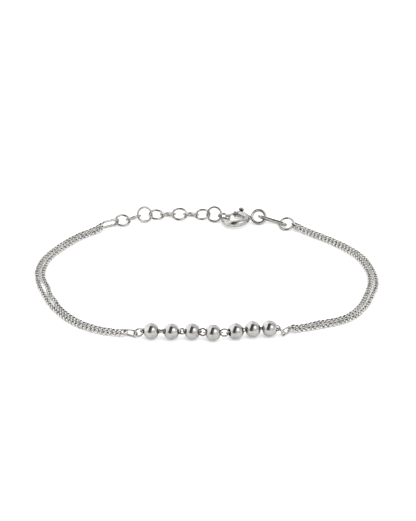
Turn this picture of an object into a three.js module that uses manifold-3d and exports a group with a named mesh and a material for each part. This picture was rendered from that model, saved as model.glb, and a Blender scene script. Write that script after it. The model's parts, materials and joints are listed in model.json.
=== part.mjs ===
// Ball chain bracelet: seven ball beads in front, two fine curb chain strands on each side, and an extender
// chain with a spring ring clasp behind. It lies fastened on a flat surface.
// Millimetres, +Z up, the bead row along X on the -Y side. The origin is the bottom centre of its box.

import * as THREE from 'three';
import { mergeVertices } from 'three/addons/utils/BufferGeometryUtils.js';
import Module from 'manifold-3d';

const wasm = await Module();
wasm.setup();

// -------------------------------------------------- driving dimensions, in millimetres and degrees

const BEAD = { radius: 1.6, hole: 0.72, turns: 20, arcSteps: 9 };
const CORE = { wire: 0.3, width: 1.28, turns: 12 };
const LINK_PLAY = 0.13; // free play between a core link and the link or ring that it holds
const OPEN_LINK = { wire: 0.34, width: 1.68, turns: 16 };
const CLOSE_LINK = { wire: 0.26, width: 1.06, turns: 16 };
const END_RING = { wire: 0.34, width: 1.9, length: 2.2 }; // at each end of the bead row

// Bead centres from left to right. yaw turns the hole away from X, and the reaches run from the bead's
// centre to the wire of the link or ring held on its left and on its right. coreRoll turns the core link
// in the hole.
const BEADS = [
  { x: -10.89, y: -23.07, yaw: -2, leftReach: 1.6, rightReach: 1.34, coreRoll: -81 },
  { x: -6.94, y: -23.21, yaw: -1, leftReach: 1.34, rightReach: 1.34, coreRoll: 88 },
  { x: -2.9, y: -23.21, yaw: -3, leftReach: 1.34, rightReach: 1.34, coreRoll: -54 },
  { x: 1.15, y: -23.63, yaw: -1, leftReach: 1.34, rightReach: 1.34, coreRoll: -33 },
  { x: 5.54, y: -23.14, yaw: 20, leftReach: 1.42, rightReach: 1.08, coreRoll: -52 },
  { x: 8.86, y: -22.41, yaw: 10, leftReach: 1.06, rightReach: 1.06, coreRoll: -85 },
  { x: 12.14, y: -22.16, yaw: 3, leftReach: 1.06, rightReach: 1.6, coreRoll: -111 },
];
// One row for each gap between beads: the kind of link in it, and its roll about its own long axis.
const BEAD_LINKS = [
  { kind: OPEN_LINK, roll: -17 },
  { kind: OPEN_LINK, roll: 14 },
  { kind: OPEN_LINK, roll: 58 },
  { kind: OPEN_LINK, roll: 55 },
  { kind: CLOSE_LINK, roll: 20 },
  { kind: CLOSE_LINK, roll: -10 },
];

// Single loops of wire: centre, outer length and width, wire, and how each lies. heading turns the long axis
// in plan, rise lifts its far end, and roll turns the loop about it from flat.
const LOOPS = [
  {
    name: 'left_end_ring', x: -13.34, y: -22.98, z: 1.2, ...END_RING,
    heading: -2, rise: 25, roll: 30,
  },
  {
    name: 'left_joining_link', x: -14.75, y: -22.6, z: 0.84, length: 2.6, width: 1.6, wire: 0.34,
    heading: -21, rise: 0, roll: 88,
  },
  {
    name: 'right_end_ring', x: 14.51, y: -22.34, z: 1.15, ...END_RING,
    heading: -18, rise: -30, roll: -31,
  },
  {
    name: 'right_joining_link', x: 15.32, y: -21.99, z: 0.83, length: 2.6, width: 1.6, wire: 0.34,
    heading: 44, rise: 0, roll: 88,
  },
  {
    name: 'left_back_link', x: -20.8, y: 19.28, z: 1.02, length: 4.3, width: 2.0, wire: 0.44,
    heading: 27, rise: 0, roll: 105,
  },
  {
    name: 'clasp_link', x: 13.95, y: 20.35, z: 1.05, length: 6.7, width: 2.2, wire: 0.44,
    heading: -24, rise: -5, roll: -44,
  },
  {
    name: 'right_back_ring', x: 16.93, y: 19.15, z: 0.93, length: 3.45, width: 3.45, wire: 0.44,
    heading: -25, rise: 0, roll: 26,
  },
];

// Extender rings from the left back link to the clasp. The long axis of each points from the ring before it
// to the ring after it.
const EXTENDER = { outer: 3.5, lastOuter: 2.8, wire: 0.44, claspGrip: { x: 4.2, y: 21.6, z: 1.1 } };
const EXTENDER_RINGS = [
  { x: -18.16, y: 20.5, z: 0.99, roll: 17 },
  { x: -15.83, y: 21.41, z: 1.18, roll: -36 },
  { x: -13.42, y: 22.14, z: 1.53, roll: 55 },
  { x: -10.95, y: 22.46, z: 1.28, roll: 8 },
  { x: -8.48, y: 22.74, z: 1.22, roll: -38 },
  { x: -5.97, y: 22.92, z: 1.14, roll: 20 },
  { x: -3.48, y: 22.7, z: 1.23, roll: -38 },
  { x: -0.98, y: 22.39, z: 1.37, roll: 12 },
  { x: 1.53, y: 22.08, z: 1.59, roll: 61 },
  { x: 3.64, y: 21.57, z: 1.3, roll: -58 },
];

// A strand is a fine curb chain, flat on the surface. Both strands of a side follow one middle line, each
// at the spread beside it, and lift at the ends to the links that gather them.
const STRAND = { width: 0.95, height: 0.75, chamfer: 0.22, steps: 28 };
const LEFT_ROUTE = [
  { x: -16.3, y: -22.08, z: 0.66, spread: 0.54 },
  { x: -17.5, y: -21.8, z: 0.45, spread: 0.58 },
  { x: -18.8, y: -21.5, z: 0.38, spread: 0.6 },
  { x: -20.5, y: -21.1, z: 0.375, spread: 0.62 },
  { x: -24.1, y: -19.35, z: 0.375, spread: 0.62 },
  { x: -27.3, y: -16.6, z: 0.375, spread: 0.62 },
  { x: -29.9, y: -13.1, z: 0.375, spread: 0.62 },
  { x: -31.2, y: -10.4, z: 0.375, spread: 0.74 },
  { x: -32.2, y: -8.1, z: 0.375, spread: 0.62 },
  { x: -33.1, y: -5.2, z: 0.375, spread: 0.8 },
  { x: -34.0, y: -2.2, z: 0.375, spread: 0.64 },
  { x: -34.3, y: 1.0, z: 0.375, spread: 0.62 },
  { x: -33.7, y: 4.6, z: 0.375, spread: 0.62 },
  { x: -32.4, y: 7.7, z: 0.375, spread: 0.62 },
  { x: -30.2, y: 11.1, z: 0.375, spread: 0.64 },
  { x: -27.3, y: 14.5, z: 0.375, spread: 0.64 },
  { x: -25.0, y: 16.4, z: 0.375, spread: 0.62 },
  { x: -23.9, y: 17.2, z: 0.44, spread: 0.6 },
  { x: -22.9, y: 18.0, z: 0.7, spread: 0.56 },
];
const RIGHT_ROUTE = [
  { x: 16.6, y: -20.8, z: 0.66, spread: 0.54 },
  { x: 17.6, y: -20.46, z: 0.45, spread: 0.58 },
  { x: 18.6, y: -20.14, z: 0.38, spread: 0.6 },
  { x: 19.9, y: -19.8, z: 0.375, spread: 0.62 },
  { x: 22.8, y: -18.75, z: 0.375, spread: 0.74 },
  { x: 25.9, y: -17.7, z: 0.375, spread: 0.62 },
  { x: 28.4, y: -16.1, z: 0.375, spread: 0.62 },
  { x: 30.9, y: -12.7, z: 0.375, spread: 0.62 },
  { x: 32.6, y: -8.3, z: 0.375, spread: 0.62 },
  { x: 33.6, y: -4.9, z: 0.375, spread: 0.68 },
  { x: 33.85, y: -1.6, z: 0.375, spread: 0.62 },
  { x: 33.3, y: 2.1, z: 0.375, spread: 0.62 },
  { x: 31.9, y: 6.2, z: 0.375, spread: 0.62 },
  { x: 29.6, y: 9.6, z: 0.375, spread: 0.62 },
  { x: 26.4, y: 12.8, z: 0.375, spread: 0.62 },
  { x: 22.8, y: 15.7, z: 0.375, spread: 0.62 },
  { x: 20.7, y: 17.3, z: 0.45, spread: 0.6 },
  { x: 19.0, y: 18.45, z: 0.75, spread: 0.56 },
];

// Spring ring clasp, in its own frame: the ring in the XY plane, its eye on +X. Angles run round the ring.
const CLASP_PLACE = { x: 6.06, y: 20.88, z: 1.16, heading: 5, rise: 3, roll: -4 };
const CLASP = { radius: 2.36, tube: 0.72, sides: 12, steps: 26 };
const MOUTH = { start: 94, end: 176 }; // closed by the latch wire
const BORE = { radius: 0.44, start: -4, end: 96, steps: 10 }; // the latch wire slides in it
const SOCKET = { radius: 0.38, start: 174, end: 186, steps: 2 }; // takes the latch wire's tip
const EYE = { distance: 5.0, radius: 1.45, wire: 0.6, roll: 51, sides: 8 };
const NECK = { radius: 0.42, length: 0.9 }; // solder between the ring and the eye
// The trigger knob, a flattened ball, stands on the latch wire through a slot in the tube, lifted above the
// ring's plane.
const LATCH = { wire: 0.26, start: 44, end: 181, sides: 8, steps: 13 };
const KNOB = {
  angle: 61, lift: 38, reach: 1.07, radius: 0.56, height: 0.62, stemRadius: 0.17, turns: 12, rows: 8,
};
const SLOT = { width: 0.52, depth: 1.0, start: 18, end: 68, steps: 8 };

// -------------------------------------------------- materials

/** Polished silver, from mirror bright to the softer look of fine links. */
function silver(color, roughness) {
  return new THREE.MeshStandardMaterial({ color, roughness, metalness: 1 });
}

const FINISH = {
  bead: () => silver(0xd2d0cc, 0.12),
  link: () => silver(0xc8c6c1, 0.2),
  strand: () => silver(0xbdbab5, 0.32),
  clasp: () => silver(0xc6c4bf, 0.18),
};

// -------------------------------------------------- shape helpers

const radians = THREE.MathUtils.degToRad;

/** Moves an object to a centre and turns it by roll, then rise, then heading, in degrees. */
function lay(object, { x, y, z, heading = 0, rise = 0, roll = 0 }) {
  object.position.set(x, y, z);
  object.rotation.set(radians(roll), radians(-rise), radians(heading), 'ZYX');
  return object;
}

/** Heading and rise, in degrees, of the line from one point to another. */
function direction(from, to) {
  const run = Math.hypot(to.x - from.x, to.y - from.y);
  return {
    heading: THREE.MathUtils.radToDeg(Math.atan2(to.y - from.y, to.x - from.x)),
    rise: THREE.MathUtils.radToDeg(Math.atan2(to.z - from.z, run)),
  };
}

/**
 * A closed loop of round wire in the XY plane, its long axis along X. Its ends are half ellipses of the given
 * depth, joined by straight rails: half the width gives a round-ended oval, half the length an ellipse.
 */
function wireLoop({ length, width, wire, end, turns = 20, sides = 6 }) {
  const half = (width - wire) / 2;
  const depth = end ?? half;
  const rail = (length - wire) / 2 - depth;
  const positions = [];
  const indices = [];
  for (let i = 0; i < turns; i += 1) {
    const around = (2 * Math.PI * (i + 0.5)) / turns;
    const side = Math.sign(Math.cos(around));
    const centre = new THREE.Vector3(side * rail + depth * Math.cos(around), half * Math.sin(around), 0);
    const out = new THREE.Vector3(Math.cos(around) / depth, Math.sin(around) / half, 0).normalize();
    for (let j = 0; j < sides; j += 1) {
      const about = (2 * Math.PI * j) / sides;
      const point = centre.clone().addScaledVector(out, (wire / 2) * Math.cos(about));
      positions.push(point.x, point.y, (wire / 2) * Math.sin(about));
      const nextTurn = ((i + 1) % turns) * sides;
      const nextSide = (j + 1) % sides;
      const here = i * sides;
      indices.push(here + j, nextTurn + j, nextTurn + nextSide);
      indices.push(here + j, nextTurn + nextSide, here + nextSide);
    }
  }
  const geometry = new THREE.BufferGeometry();
  geometry.setAttribute('position', new THREE.Float32BufferAttribute(positions, 3));
  geometry.setIndex(indices);
  return geometry;
}

/** A circular arc in the XY plane about the origin, between two angles in degrees. */
class ArcCurve extends THREE.Curve {
  constructor(radius, start, end) {
    super();
    this.radius = radius;
    this.start = radians(start);
    this.end = radians(end);
  }

  getPoint(t, target = new THREE.Vector3()) {
    const angle = this.start + (this.end - this.start) * t;
    return target.set(this.radius * Math.cos(angle), this.radius * Math.sin(angle), 0);
  }
}

/** A regular polygon that stands for a round section. */
function roundSection(radius, sides) {
  const shape = new THREE.Shape();
  for (let k = 0; k < sides; k += 1) {
    const angle = (2 * Math.PI * (k + 0.5)) / sides;
    const corner = [radius * Math.cos(angle), radius * Math.sin(angle)];
    if (k === 0) shape.moveTo(...corner);
    else shape.lineTo(...corner);
  }
  shape.closePath();
  return shape;
}

/** A solid round wire along an arc in the XY plane. */
function arcTube(arcRadius, wireRadius, sides, { start, end, steps }) {
  return new THREE.ExtrudeGeometry(roundSection(wireRadius, sides), {
    steps, curveSegments: 1, bevelEnabled: false, extrudePath: new ArcCurve(arcRadius, start, end),
  });
}

/** Turns a closed three.js geometry into a solid that can be joined and cut. */
function toSolid(geometry) {
  const bare = geometry.clone();
  bare.deleteAttribute('normal');
  bare.deleteAttribute('uv');
  const merged = mergeVertices(bare, 1e-4);
  return new wasm.Manifold(new wasm.Mesh({
    numProp: 3,
    vertProperties: new Float32Array(merged.attributes.position.array),
    triVerts: new Uint32Array(merged.index.array),
  }));
}

/** Turns a solid back into a three.js geometry. */
function toGeometry(solid) {
  const mesh = solid.getMesh();
  const geometry = new THREE.BufferGeometry();
  geometry.setAttribute('position', new THREE.BufferAttribute(mesh.vertProperties, 3));
  geometry.setIndex(new THREE.BufferAttribute(mesh.triVerts, 1));
  return geometry;
}

// -------------------------------------------------- sub-parts

/** A ball with a round hole along X. */
function beadGeometry() {
  const rim = Math.asin(BEAD.hole / BEAD.radius);
  const profile = [];
  for (let k = 0; k <= BEAD.arcSteps; k += 1) {
    const angle = Math.PI - rim - ((Math.PI - 2 * rim) * k) / BEAD.arcSteps;
    profile.push(new THREE.Vector2(BEAD.radius * Math.sin(angle), BEAD.radius * Math.cos(angle)));
  }
  profile.push(profile[0].clone());
  return new THREE.LatheGeometry(profile, BEAD.turns).rotateZ(-Math.PI / 2);
}

/** The point on a bead's hole axis at a signed distance from its centre. */
function onBeadAxis(bead, distance) {
  const yaw = radians(bead.yaw);
  return new THREE.Vector3(
    bead.x + distance * Math.cos(yaw), bead.y + distance * Math.sin(yaw), BEAD.radius,
  );
}

/** The narrow link through a bead's hole. Its ends hold the links or end rings of the given wires. */
function coreLink(bead, leftWire, rightWire) {
  const leftGrip = bead.leftReach + (leftWire + CORE.wire) / 2 + LINK_PLAY;
  const rightGrip = bead.rightReach + (rightWire + CORE.wire) / 2 + LINK_PLAY;
  const length = leftGrip + rightGrip + CORE.wire;
  const geometry = wireLoop({ ...CORE, length });
  const centre = onBeadAxis(bead, (rightGrip - leftGrip) / 2);
  return { geometry, place: { ...centre, heading: bead.yaw, roll: bead.coreRoll } };
}

/** The wire of what a gap holds: the link between two beads, or an end ring outside the row. */
function wireInGap(gap) {
  return (BEAD_LINKS[gap]?.kind ?? END_RING).wire;
}

/** The link between two neighbouring beads. */
function beadLink(left, right, { kind, roll }) {
  const from = onBeadAxis(left, left.rightReach);
  const to = onBeadAxis(right, -right.leftReach);
  const length = from.distanceTo(to) + kind.wire;
  const end = kind === OPEN_LINK ? (length - kind.wire) / 2 : undefined;
  const geometry = wireLoop({ ...kind, length, end });
  const centre = from.clone().lerp(to, 0.5);
  return { geometry, place: { ...centre, ...direction(from, to), roll } };
}

/** The section of a strand: flat below and above, with chamfered corners. Its first axis is upright. */
function strandSection() {
  const up = STRAND.height / 2;
  const out = STRAND.width / 2;
  const cut = STRAND.chamfer;
  const corners = [
    [up, out - cut], [up - cut, out], [cut - up, out], [-up, out - cut],
    [-up, cut - out], [cut - up, -out], [up - cut, -out], [up, cut - out],
  ];
  return new THREE.Shape(corners.map(([a, b]) => new THREE.Vector2(a, b)));
}

/** A strand beside the middle line of its pair: side is 1 to the left of the route's direction, or -1. */
function strandGeometry(route, side) {
  const middle = route.map((row) => new THREE.Vector3(row.x, row.y, row.z));
  const points = middle.map((point, k) => {
    const before = middle[Math.max(k - 1, 0)];
    const after = middle[Math.min(k + 1, middle.length - 1)];
    const across = new THREE.Vector3(before.y - after.y, after.x - before.x, 0).normalize();
    return point.clone().addScaledVector(across, side * route[k].spread);
  });
  return new THREE.ExtrudeGeometry(strandSection(), {
    steps: STRAND.steps, curveSegments: 1, bevelEnabled: false,
    extrudePath: new THREE.CatmullRomCurve3(points),
  });
}

/** The curved slot through the tube's wall, in which the knob's stem runs. */
function slotCutter() {
  const half = SLOT.width / 2;
  // The section's first axis points down before the turn, and its second towards the ring's centre.
  const section = new THREE.Shape([
    new THREE.Vector2(0, -half), new THREE.Vector2(-SLOT.depth, -half),
    new THREE.Vector2(-SLOT.depth, half), new THREE.Vector2(0, half),
  ].map((corner) => corner.rotateAround(new THREE.Vector2(), radians(90 - KNOB.lift))));
  return new THREE.ExtrudeGeometry(section, {
    steps: SLOT.steps, curveSegments: 1, bevelEnabled: false,
    extrudePath: new ArcCurve(CLASP.radius, SLOT.start, SLOT.end),
  });
}

/** The eye that holds the clasp on its chain, and the solder neck that joins it to the ring. */
function claspEye() {
  const outer = 2 * EYE.radius + EYE.wire;
  const loop = wireLoop({ length: outer, width: outer, wire: EYE.wire, sides: EYE.sides });
  loop.rotateX(radians(EYE.roll)).translate(EYE.distance, 0, 0);
  const neck = new THREE.CylinderGeometry(NECK.radius, NECK.radius, NECK.length, CLASP.sides);
  neck.rotateZ(Math.PI / 2).translate(EYE.distance - outer / 2, 0, 0);
  return { loop: toSolid(loop), neck: toSolid(neck) };
}

/** The clasp's hollow tube ring with its mouth, bore, slot and socket, and the eye soldered to it. */
function claspBodyGeometry() {
  const { radius, tube, sides, steps } = CLASP;
  const wall = { start: MOUTH.end - 360, end: MOUTH.start, steps };
  const eye = claspEye();
  const solid = toSolid(arcTube(radius, tube, sides, wall))
    .add(eye.neck)
    .subtract(toSolid(arcTube(radius, BORE.radius, sides, BORE)))
    .subtract(toSolid(arcTube(radius, SOCKET.radius, sides, SOCKET)))
    .subtract(toSolid(slotCutter()))
    .add(eye.loop);
  return toGeometry(solid);
}

/** The sprung wire that closes the mouth, with its stem and trigger knob. */
function claspLatchGeometry() {
  const stem = new THREE.CylinderGeometry(KNOB.stemRadius, KNOB.stemRadius, KNOB.reach, LATCH.sides);
  stem.rotateZ(-Math.PI / 2).translate(KNOB.reach / 2, 0, 0);
  const ball = new THREE.SphereGeometry(KNOB.radius, KNOB.turns, KNOB.rows);
  ball.scale(KNOB.height / (2 * KNOB.radius), 1, 1).translate(KNOB.reach, 0, 0);
  let solid = toSolid(arcTube(CLASP.radius, LATCH.wire, LATCH.sides, LATCH));
  for (const piece of [stem, ball]) {
    piece.rotateY(-radians(KNOB.lift)).translate(CLASP.radius, 0, 0).rotateZ(radians(KNOB.angle));
    solid = solid.add(toSolid(piece));
  }
  return toGeometry(solid);
}

// -------------------------------------------------- assembly

const bracelet = new THREE.Group();

/** Adds a named piece with a finish of its own. */
function addPiece(name, geometry, finish, place = { x: 0, y: 0, z: 0 }, parent = bracelet) {
  const mesh = new THREE.Mesh(geometry, finish());
  mesh.name = name;
  parent.add(lay(mesh, place));
}

function addBeads() {
  BEADS.forEach((bead, k) => {
    const core = coreLink(bead, wireInGap(k - 1), wireInGap(k));
    addPiece(`ball_bead_${k + 1}`, beadGeometry(), FINISH.bead, {
      x: bead.x, y: bead.y, z: BEAD.radius, heading: bead.yaw,
    });
    addPiece(`bead_core_link_${k + 1}`, core.geometry, FINISH.link, core.place);
  });
  BEAD_LINKS.forEach((row, k) => {
    const link = beadLink(BEADS[k], BEADS[k + 1], row);
    addPiece(`bead_link_${k + 1}`, link.geometry, FINISH.link, link.place);
  });
}

function addLoops() {
  for (const loop of LOOPS) {
    addPiece(loop.name, wireLoop(loop), FINISH.link, loop);
  }
}

function addStrands() {
  addPiece('left_strand_outer', strandGeometry(LEFT_ROUTE, 1), FINISH.strand);
  addPiece('left_strand_inner', strandGeometry(LEFT_ROUTE, -1), FINISH.strand);
  addPiece('right_strand_outer', strandGeometry(RIGHT_ROUTE, -1), FINISH.strand);
  addPiece('right_strand_inner', strandGeometry(RIGHT_ROUTE, 1), FINISH.strand);
}

function addExtender() {
  const backLink = LOOPS.find((loop) => loop.name === 'left_back_link');
  const chain = [backLink, ...EXTENDER_RINGS, EXTENDER.claspGrip];
  EXTENDER_RINGS.forEach((ring, k) => {
    const outer = k === EXTENDER_RINGS.length - 1 ? EXTENDER.lastOuter : EXTENDER.outer;
    const along = direction(chain[k], chain[k + 2]);
    const geometry = wireLoop({ length: outer, width: outer, wire: EXTENDER.wire });
    addPiece(`extender_ring_${k + 1}`, geometry, FINISH.link, { ...ring, ...along });
  });
}

function addClasp() {
  const clasp = lay(new THREE.Group(), CLASP_PLACE);
  addPiece('clasp_body', claspBodyGeometry(), FINISH.clasp, undefined, clasp);
  addPiece('clasp_latch', claspLatchGeometry(), FINISH.clasp, undefined, clasp);
  bracelet.add(clasp);
}

addBeads();
addLoops();
addStrands();
addExtender();
addClasp();

// The origin is the middle of the box's base.
const box = new THREE.Box3().setFromObject(bracelet, true);
bracelet.position.set(-(box.min.x + box.max.x) / 2, -(box.min.y + box.max.y) / 2, -box.min.z);

export default bracelet;
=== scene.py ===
"""Looks of a ball chain bracelet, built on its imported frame.

Seven polished ball beads sit in front, two fine curb chain strands run round each side, and a ring
extender chain with a spring ring clasp closes the loop behind. Lengths are in metres and angles in
degrees, unless a name says otherwise.
"""

import json
import logging
import math
from dataclasses import dataclass, field
from enum import Enum
from typing import Optional, Sequence, Union

import bpy
from mathutils import Matrix, Vector


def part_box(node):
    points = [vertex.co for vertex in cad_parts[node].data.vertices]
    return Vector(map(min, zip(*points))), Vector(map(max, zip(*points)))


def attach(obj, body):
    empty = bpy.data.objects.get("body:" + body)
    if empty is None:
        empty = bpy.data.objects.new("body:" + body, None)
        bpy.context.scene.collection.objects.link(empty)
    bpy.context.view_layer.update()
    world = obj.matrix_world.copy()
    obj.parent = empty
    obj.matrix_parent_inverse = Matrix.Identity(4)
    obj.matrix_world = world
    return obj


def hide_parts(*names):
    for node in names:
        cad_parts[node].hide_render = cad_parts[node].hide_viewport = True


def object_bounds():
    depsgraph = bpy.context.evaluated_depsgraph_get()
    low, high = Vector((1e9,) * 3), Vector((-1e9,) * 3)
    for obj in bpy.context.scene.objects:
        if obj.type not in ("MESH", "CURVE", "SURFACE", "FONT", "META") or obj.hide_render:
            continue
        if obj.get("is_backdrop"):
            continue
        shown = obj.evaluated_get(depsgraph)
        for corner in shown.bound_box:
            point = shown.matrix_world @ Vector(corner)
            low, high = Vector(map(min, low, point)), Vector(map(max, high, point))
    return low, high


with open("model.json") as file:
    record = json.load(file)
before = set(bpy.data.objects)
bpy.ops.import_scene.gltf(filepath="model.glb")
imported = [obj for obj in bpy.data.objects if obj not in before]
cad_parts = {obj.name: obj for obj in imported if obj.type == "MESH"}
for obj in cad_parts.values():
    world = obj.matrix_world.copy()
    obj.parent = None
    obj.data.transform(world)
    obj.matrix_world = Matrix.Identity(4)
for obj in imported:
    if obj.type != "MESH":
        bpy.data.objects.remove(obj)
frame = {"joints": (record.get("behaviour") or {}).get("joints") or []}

MM = 0.001
LOG = logging.getLogger("bracelet")
MAIN_BODY = "bracelet"
RECESS = "recess"
TURN = "turn"
SMOOTH = "SMOOTHSTEP"
# Centre of the middle bead, from the bracelet's middle on the table.
MIDDLE_BEAD_MM = (1.15, -23.63, 1.6)

Tree = bpy.types.NodeTree
Node = bpy.types.Node
Socket = bpy.types.NodeSocket
Mesh = bpy.types.Mesh
Span = tuple[float, float]
Triple = tuple[float, float, float]
Quad = tuple[float, float, float, float]
Inputs = dict[Union[str, int], object]


# ---- nodes and objects


def put(name: str, data: bpy.types.ID) -> bpy.types.Object:
    """Puts a new object with the given data in the scene.

    Args:
        name: Name of the object.
        data: Its mesh, light or camera.

    Returns:
        The object.
    """
    thing = bpy.data.objects.new(name, data)
    bpy.context.scene.collection.objects.link(thing)
    return thing


def feed(tree: Tree, node: Node, inputs: Inputs) -> None:
    """Sets or links a node's inputs.

    Args:
        tree: The tree that the node is in.
        node: The node.
        inputs: A plain value, or the socket to read, for each input by name or number.
    """
    for key, value in inputs.items():
        if isinstance(value, Socket):
            tree.links.new(value, node.inputs[key])
        else:
            node.inputs[key].default_value = value


def add_node(tree: Tree, kind: str, inputs: Optional[Inputs] = None, **settings: object) -> Node:
    """Adds a node to a tree.

    Args:
        tree: A material's tree, the world's or a geometry tree.
        kind: The node's type.
        inputs: What each input gets, as for feed.
        settings: The node's own properties.

    Returns:
        The node.
    """
    node = tree.nodes.new(kind)
    for key, value in settings.items():
        setattr(node, key, value)
    feed(tree, node, inputs or {})
    return node


def calculate(tree: Tree, operation: str, first: object, second: object = None) -> Socket:
    """Adds a sum on sockets or plain numbers.

    Args:
        tree: The tree to add to.
        operation: The math node's operation.
        first: A socket or a number.
        second: A socket or a number, or None where the operation takes one value.

    Returns:
        The socket that holds the result.
    """
    inputs = {0: first} if second is None else {0: first, 1: second}
    return add_node(tree, "ShaderNodeMath", inputs, operation=operation).outputs[0]


def mapped(tree: Tree, value: Socket, span: Span, to: Span = (0.0, 1.0), kind: str = "LINEAR") -> Socket:
    """Adds a node that maps a span of values to another one, held at its ends.

    Args:
        tree: The tree to add to.
        value: The socket to map.
        span: Values that become the first and the second of to.
        to: What they become.
        kind: How the values between are filled in.

    Returns:
        The socket that holds the result.
    """
    inputs = {"Value": value, **dict(zip(("From Min", "From Max"), span))}
    inputs.update(zip(("To Min", "To Max"), to))
    return add_node(tree, "ShaderNodeMapRange", inputs, interpolation_type=kind).outputs["Result"]


# ---- finishes


@dataclass(frozen=True)
class Silver:
    """Polished silver with a soft cloud of handling marks and fine polishing scratches.

    Attributes:
        slot: The record's material slot that wears this finish.
        bright, dull: Colour of the fresh metal, and where a trace of tarnish has settled.
        roughness, haze: Roughness of the cleanest metal, and how much it rises in the marks.
        cloud, grain: Width of one cloudy mark, and of one polishing scratch.
        grain_depth, facet: Height of the scratches, and of a broad unevenness below them.
        painted_shade: Colour in the recesses of a link, as a share of that elsewhere. This is painted
            shade, where the link's own wire and its neighbours would shade it.
        marks: Values of the cloud between which dull gives way to bright.
        wear: Values of cloud times scratches between which the roughness rises.
        hollow: Values of the recess attribute between which the painted shade sets in.
        cloud_octaves, grain_octaves: Octaves of finer noise in each pattern.
        grain_stretch: Scale of the scratches along each axis.
        pattern_radians: Turn of both patterns about each axis.
    """

    slot: str
    bright: Triple
    dull: Triple
    roughness: float
    haze: float
    cloud: float
    grain: float
    grain_depth: float
    painted_shade: float = 1.0
    facet: float = 0.0
    marks: Span = (0.34, 0.56)
    wear: Span = (0.12, 0.42)
    hollow: Span = (-0.1, 0.6)
    cloud_octaves: float = 3.0
    grain_octaves: float = 2.0
    grain_stretch: Triple = (1.0, 0.25, 0.6)
    pattern_radians: Triple = (0.3, 0.5, 0.7)

    def material(self) -> bpy.types.Material:
        """Builds the node material of this finish, or returns the one already built.

        Returns:
            The material.
        """
        name = f"{self.slot}_finish"
        if name in bpy.data.materials:
            return bpy.data.materials[name]
        made = bpy.data.materials.new(name)
        made.use_nodes = True
        tree = made.node_tree
        cloud = self._noise(tree, self.cloud, self.cloud_octaves)
        grain = self._noise(tree, self.grain, self.grain_octaves, self.grain_stretch)
        looks = {
            "Metallic": 1.0,
            "Base Color": self._colour(tree, cloud),
            "Roughness": self._gloss(tree, cloud, grain),
            "Normal": self._relief(tree, cloud, grain),
        }
        feed(tree, tree.nodes["Principled BSDF"], looks)
        return made

    def _noise(self, tree: Tree, width: float, octaves: float, stretch: Triple = (1.0, 1.0, 1.0)) -> Socket:
        """Adds a noise texture on object coordinates.

        Args:
            tree: The material's node tree.
            width: Width of one mark.
            octaves: Octaves of finer noise.
            stretch: Scale of the pattern along each axis.

        Returns:
            The socket that holds the noise.
        """
        place = add_node(tree, "ShaderNodeTexCoord").outputs["Object"]
        turned = {"Vector": place, "Scale": stretch, "Rotation": self.pattern_radians}
        spot = add_node(tree, "ShaderNodeMapping", turned).outputs["Vector"]
        inputs = {"Vector": spot, "Scale": 1 / width, "Detail": octaves}
        return add_node(tree, "ShaderNodeTexNoise", inputs).outputs["Fac"]

    def _colour(self, tree: Tree, cloud: Socket) -> Socket:
        """Blends the dull colour into the bright one through the cloud, and paints shade into recesses.

        Args:
            tree: The material's node tree.
            cloud: The cloud noise.

        Returns:
            The socket that holds the colour.
        """
        blend = add_node(tree, "ShaderNodeValToRGB", {"Fac": cloud})
        for stop, position, colour in zip(
            blend.color_ramp.elements, self.marks, (self.dull, self.bright)
        ):
            stop.position = position
            stop.color = (*colour, 1.0)
        # Painted shade: the colour darkens on faces that look into a link's middle, standing in for the
        # shade there.
        recess = add_node(tree, "ShaderNodeAttribute", attribute_name=RECESS).outputs["Fac"]
        share = mapped(tree, recess, self.hollow, (1.0, self.painted_shade))
        inputs = {"Vector": blend.outputs["Color"], "Scale": share}
        return add_node(tree, "ShaderNodeVectorMath", inputs, operation="SCALE").outputs["Vector"]

    def _gloss(self, tree: Tree, cloud: Socket, grain: Socket) -> Socket:
        """Raises the roughness where cloud and scratches meet."""
        both = calculate(tree, "MULTIPLY", cloud, grain)
        return mapped(tree, both, self.wear, (self.roughness, self.roughness + self.haze))

    def _relief(self, tree: Tree, cloud: Socket, grain: Socket) -> Socket:
        """Adds the scratches, and any broad unevenness below them, as bump.

        Args:
            tree: The material's node tree.
            cloud: The cloud noise.
            grain: The scratches.

        Returns:
            The socket that holds the normal.
        """
        inputs = {"Distance": self.grain_depth, "Height": grain}
        if self.facet:
            broad = add_node(tree, "ShaderNodeBump", {"Distance": self.facet, "Height": cloud})
            inputs["Normal"] = broad.outputs["Normal"]
        return add_node(tree, "ShaderNodeBump", inputs).outputs["Normal"]


class Finish(Enum):
    """The four finishes of the bracelet."""

    BEAD = Silver(
        slot="bead_silver", bright=(0.52, 0.51, 0.50), dull=(0.45, 0.44, 0.43),
        roughness=0.07, haze=0.10, cloud=0.9 * MM, grain=0.05 * MM, grain_depth=0.0004 * MM,
        facet=0.004 * MM,
    )
    LINK = Silver(
        slot="link_silver", bright=(0.53, 0.52, 0.505), dull=(0.39, 0.38, 0.365),
        roughness=0.13, haze=0.16, cloud=0.7 * MM, grain=0.06 * MM, grain_depth=0.0008 * MM,
    )
    CURB = Silver(
        slot="curb_chain_silver", bright=(0.73, 0.72, 0.705), dull=(0.545, 0.535, 0.515),
        roughness=0.16, haze=0.18, cloud=0.5 * MM, grain=0.05 * MM, grain_depth=0.0008 * MM,
        # Painted shade: the curb links' inward faces keep 0.3 of the colour.
        painted_shade=0.3,
    )
    CLASP = Silver(
        slot="clasp_silver", bright=(0.52, 0.51, 0.495), dull=(0.40, 0.39, 0.375),
        roughness=0.11, haze=0.16, cloud=0.8 * MM, grain=0.06 * MM, grain_depth=0.0007 * MM,
        facet=0.003 * MM,
    )


# ---- shapes


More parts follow.
